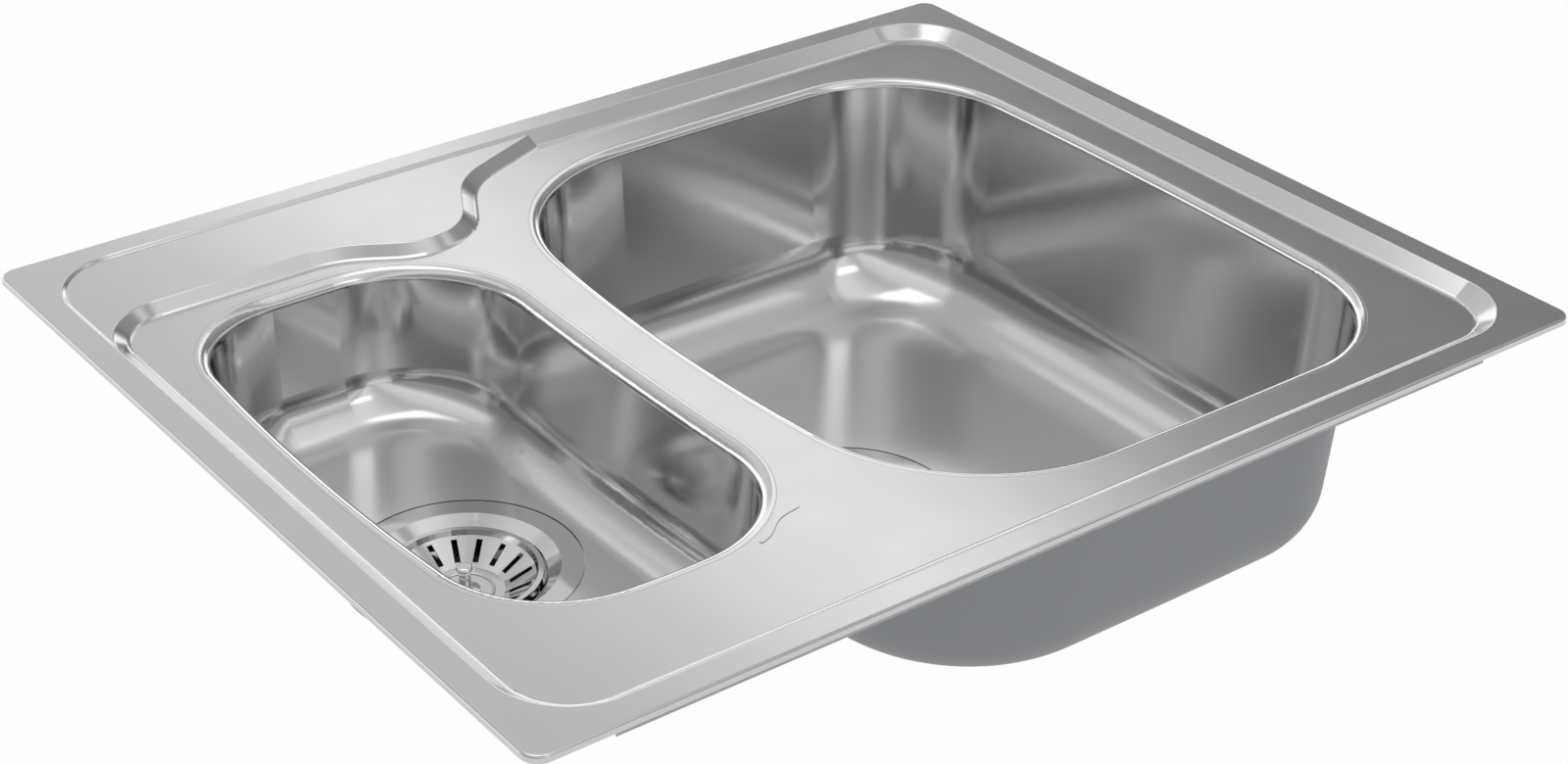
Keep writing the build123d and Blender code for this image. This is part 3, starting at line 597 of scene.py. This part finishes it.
@dataclass(frozen=True)
class Ceiling:
    """The lit ceiling and the pale walls all round, as the steel mirrors them.

    Stops give the ceiling's brightness against how far across it lies for each unit of height:
    near ones hold overhead, far ones behind the sink, and change is where one goes over into the other.
    The walls reach up to their tops, and the one ahead is seen where a direction points ahead enough.
    A direction that rises less than lowest counts as rising that much.
    """

    near: Stops
    far: Stops
    change: Span
    wall: float
    wall_top: Span
    wall_ahead: float
    wall_ahead_top: Span
    ahead: Span
    lowest: float = 0.02

    def build(self) -> None:
        """Makes the scene's world."""
        world = bpy.data.worlds.new("studio_ceiling")
        bpy.context.scene.world = world
        tree = empty_tree(world)
        towards = add_node(tree, "ShaderNodeTexCoord").outputs["Generated"]
        x, y, z = add_node(tree, "ShaderNodeSeparateXYZ", {"Vector": towards}).outputs
        above = {0: z, 1: self.lowest}
        height = add_node(tree, "ShaderNodeMath", above, operation="MAXIMUM").outputs["Value"]
        across = add_node(tree, "ShaderNodeMath", {0: x, 1: height}, operation="DIVIDE").outputs["Value"]
        along = add_node(tree, "ShaderNodeMath", {0: y, 1: height}, operation="DIVIDE").outputs["Value"]
        near = self._profile(tree, across, self.near)
        far = self._profile(tree, across, self.far)
        overhead = self._over(tree, self._step(tree, along, self.change), near, far)
        above_wall = self._step(tree, z, self.wall_top)
        above_wall_ahead = self._step(tree, z, self.wall_ahead_top)
        around = self._over(tree, above_wall, grey(self.wall), overhead)
        ahead = self._over(tree, above_wall_ahead, grey(self.wall_ahead), overhead)
        everywhere = self._over(tree, self._step(tree, y, self.ahead), around, ahead)
        light = add_node(tree, "ShaderNodeBackground", {"Color": everywhere, "Strength": 1.0})
        add_node(tree, "ShaderNodeOutputWorld", {"Surface": light.outputs["Background"]})

    def _over(
        self,
        tree: bpy.types.NodeTree,
        share: bpy.types.NodeSocket,
        first: bpy.types.NodeSocket | Colour,
        second: bpy.types.NodeSocket | Colour,
    ) -> bpy.types.NodeSocket:
        """Goes over from one colour to another.

        Args:
            tree: The world's tree.
            share: Nought for the first colour, one for the second.
            first: The first colour or its socket.
            second: The second colour or its socket.

        Returns:
            The colour's socket.
        """
        inputs = {"Factor": share, "A": first, "B": second}
        return add_node(tree, "ShaderNodeMix", inputs, data_type="RGBA").outputs["Result"]

    def _step(
        self, tree: bpy.types.NodeTree, value: bpy.types.NodeSocket, span: Span
    ) -> bpy.types.NodeSocket:
        """Rises smoothly from nought to one as a value crosses a span.

        Args:
            tree: The world's tree.
            value: The value that is watched.
            span: Where the rise starts and ends.

        Returns:
            The socket that rises.
        """
        inputs = {"Value": value, "From Min": span[0], "From Max": span[1]}
        return add_node(tree, "ShaderNodeMapRange", inputs, interpolation_type="SMOOTHSTEP").outputs["Result"]

    def _profile(
        self, tree: bpy.types.NodeTree, across: bpy.types.NodeSocket, stops: Stops
    ) -> bpy.types.NodeSocket:
        """Gives the brightness across the ceiling.

        Args:
            tree: The world's tree.
            across: How far across the ceiling a point lies.
            stops: Places with their brightness.

        Returns:
            The brightness, as a colour.
        """
        first, last = stops[0][0], stops[-1][0]
        span = {"Value": across, "From Min": first, "From Max": last}
        share = add_node(tree, "ShaderNodeMapRange", span).outputs["Result"]
        ramp = add_node(tree, "ShaderNodeValToRGB", {"Fac": share})
        ramp.color_ramp.interpolation = "EASE"
        elements = ramp.color_ramp.elements
        while len(elements) < len(stops):
            elements.new(0.5)
        for element, (place, brightness) in zip(elements, stops):
            element.position = (place - first) / (last - first)
            element.color = grey(brightness)
        return ramp.outputs["Color"]


@dataclass(frozen=True)
class StudioFloor:
    """A plain white floor that shows white and keeps the object's shadow."""

    level: float = -0.42
    width: float = 12.0
    shown_share: float = 0.96
    paper: float = 0.92
    paper_roughness: float = 0.9

    def build(self) -> None:
        """Adds the floor to the scene."""
        bpy.ops.mesh.primitive_plane_add(size=self.width, location=(0.0, 0.0, self.level))
        floor = bpy.context.object
        floor.name = "studio_floor"
        floor.data.materials.append(self._white())

    def _white(self) -> bpy.types.Material:
        """Makes the floor's matt white.

        Returns:
            The material.
        """
        material = bpy.data.materials.new("matt_white_paper")
        tree = empty_tree(material)
        matt = {"Base Color": grey(self.paper), "Roughness": self.paper_roughness}
        paper = add_node(tree, "ShaderNodeBsdfPrincipled", matt).outputs["BSDF"]
        glow = {"Color": grey(1.0), "Strength": 1.0}
        white = add_node(tree, "ShaderNodeEmission", glow).outputs["Emission"]
        rays = add_node(tree, "ShaderNodeLightPath").outputs
        seen = {0: rays["Is Camera Ray"], 1: rays["Is Glossy Ray"]}
        shown = {
            0: add_node(tree, "ShaderNodeMath", seen, operation="MAXIMUM").outputs["Value"],
            1: rays["Is Transmission Ray"],
        }
        part = {
            0: add_node(tree, "ShaderNodeMath", shown, operation="MAXIMUM").outputs["Value"],
            1: self.shown_share,
        }
        share = add_node(tree, "ShaderNodeMath", part, operation="MULTIPLY").outputs["Value"]
        mixed = add_node(tree, "ShaderNodeMixShader", {0: share, 1: paper, 2: white}).outputs["Shader"]
        add_node(tree, "ShaderNodeOutputMaterial", {"Surface": mixed})
        return material


@dataclass(frozen=True)
class PhotoCamera:
    """Where the photograph was taken from."""

    place: tuple[float, float, float] = (-0.77496, -1.00743, 0.68673)
    pitch: float = 59.97
    yaw: float = -35.9
    lens_mm: float = 65.965
    sensor_mm: float = 36.0
    shift_x: float = 0.05296
    farthest: float = 50.0

    def build(self) -> None:
        """Adds the camera and makes it the scene's own."""
        bpy.ops.object.camera_add(location=self.place)
        camera = bpy.context.object
        camera.name = "photo_camera"
        camera.rotation_euler = (math.radians(self.pitch), 0.0, math.radians(self.yaw))
        camera.data.lens = self.lens_mm
        camera.data.sensor_width = self.sensor_mm
        camera.data.shift_x = self.shift_x
        camera.data.clip_end = self.farthest
        bpy.context.scene.camera = camera


CEILING = Ceiling(
    near=(
        (-1.5, 0.4),
        (-1.1, 0.52),
        (-0.95, 0.7),
        (-0.8, 1.0),
        (-0.45, 0.9),
        (-0.15, 0.65),
        (0.02, 0.8),
        (0.2, 0.98),
        (0.4, 1.05),
        (0.5, 0.95),
        (0.6, 0.55),
        (0.68, 0.55),
        (0.8, 1.0),
        (0.9, 0.95),
        (1.05, 0.5),
        (1.2, 0.42),
        (3.0, 0.33),
    ),
    far=(
        (-1.6, 0.48),
        (-1.0, 0.55),
        (-0.55, 0.66),
        (-0.13, 0.85),
        (0.44, 0.88),
        (0.72, 0.76),
        (0.84, 0.86),
        (0.93, 1.45),
        (1.04, 1.65),
        (1.1, 1.2),
        (1.2, 0.45),
        (1.28, 0.33),
        (1.5, 0.28),
        (3.0, 0.28),
    ),
    change=(0.85, 1.08),
    wall=1.0,
    wall_top=(0.08, 0.18),
    wall_ahead=1.6,
    wall_ahead_top=(0.27, 0.36),
    ahead=(0.48, 0.6),
)

SOFTBOXES = (
    Softbox("top_softbox", (0.05, 0.65, 2.0), (1.0, 1.1), 4.2),
    Softbox("front_softbox", (0.6, -2.6, 2.0), (1.0, 1.0), 3.0),
)


def main() -> None:
    """Dresses the sink's sub-assemblies, then adds the studio and the camera."""
    logging.basicConfig(level=logging.INFO)
    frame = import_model()
    shop = PaintShop(frame)
    bowls = (Bowl("main", (95.0, 0.0)), Bowl("half", (-180.0, 0.0)))
    seams = (WeldSeam("main_bowl"), WeldSeam("half_bowl"))
    wastes = (Waste("main"), Waste("half"))
    for group in (Deck(), *bowls, *seams, *wastes, Clips()):
        group.build(shop)
    left = set(frame["nodes"]) - shop.done
    LOG.info("%d of %d nodes dressed", len(shop.done), len(frame["nodes"]))
    if left:
        raise ValueError("nodes without a finish: " + ", ".join(sorted(left)))
    CEILING.build()
    StudioFloor().build()
    for softbox in SOFTBOXES:
        softbox.build()
    PhotoCamera().build()
    bpy.context.scene.view_settings.view_transform = "Standard"


if __name__ == "__main__":
    main()
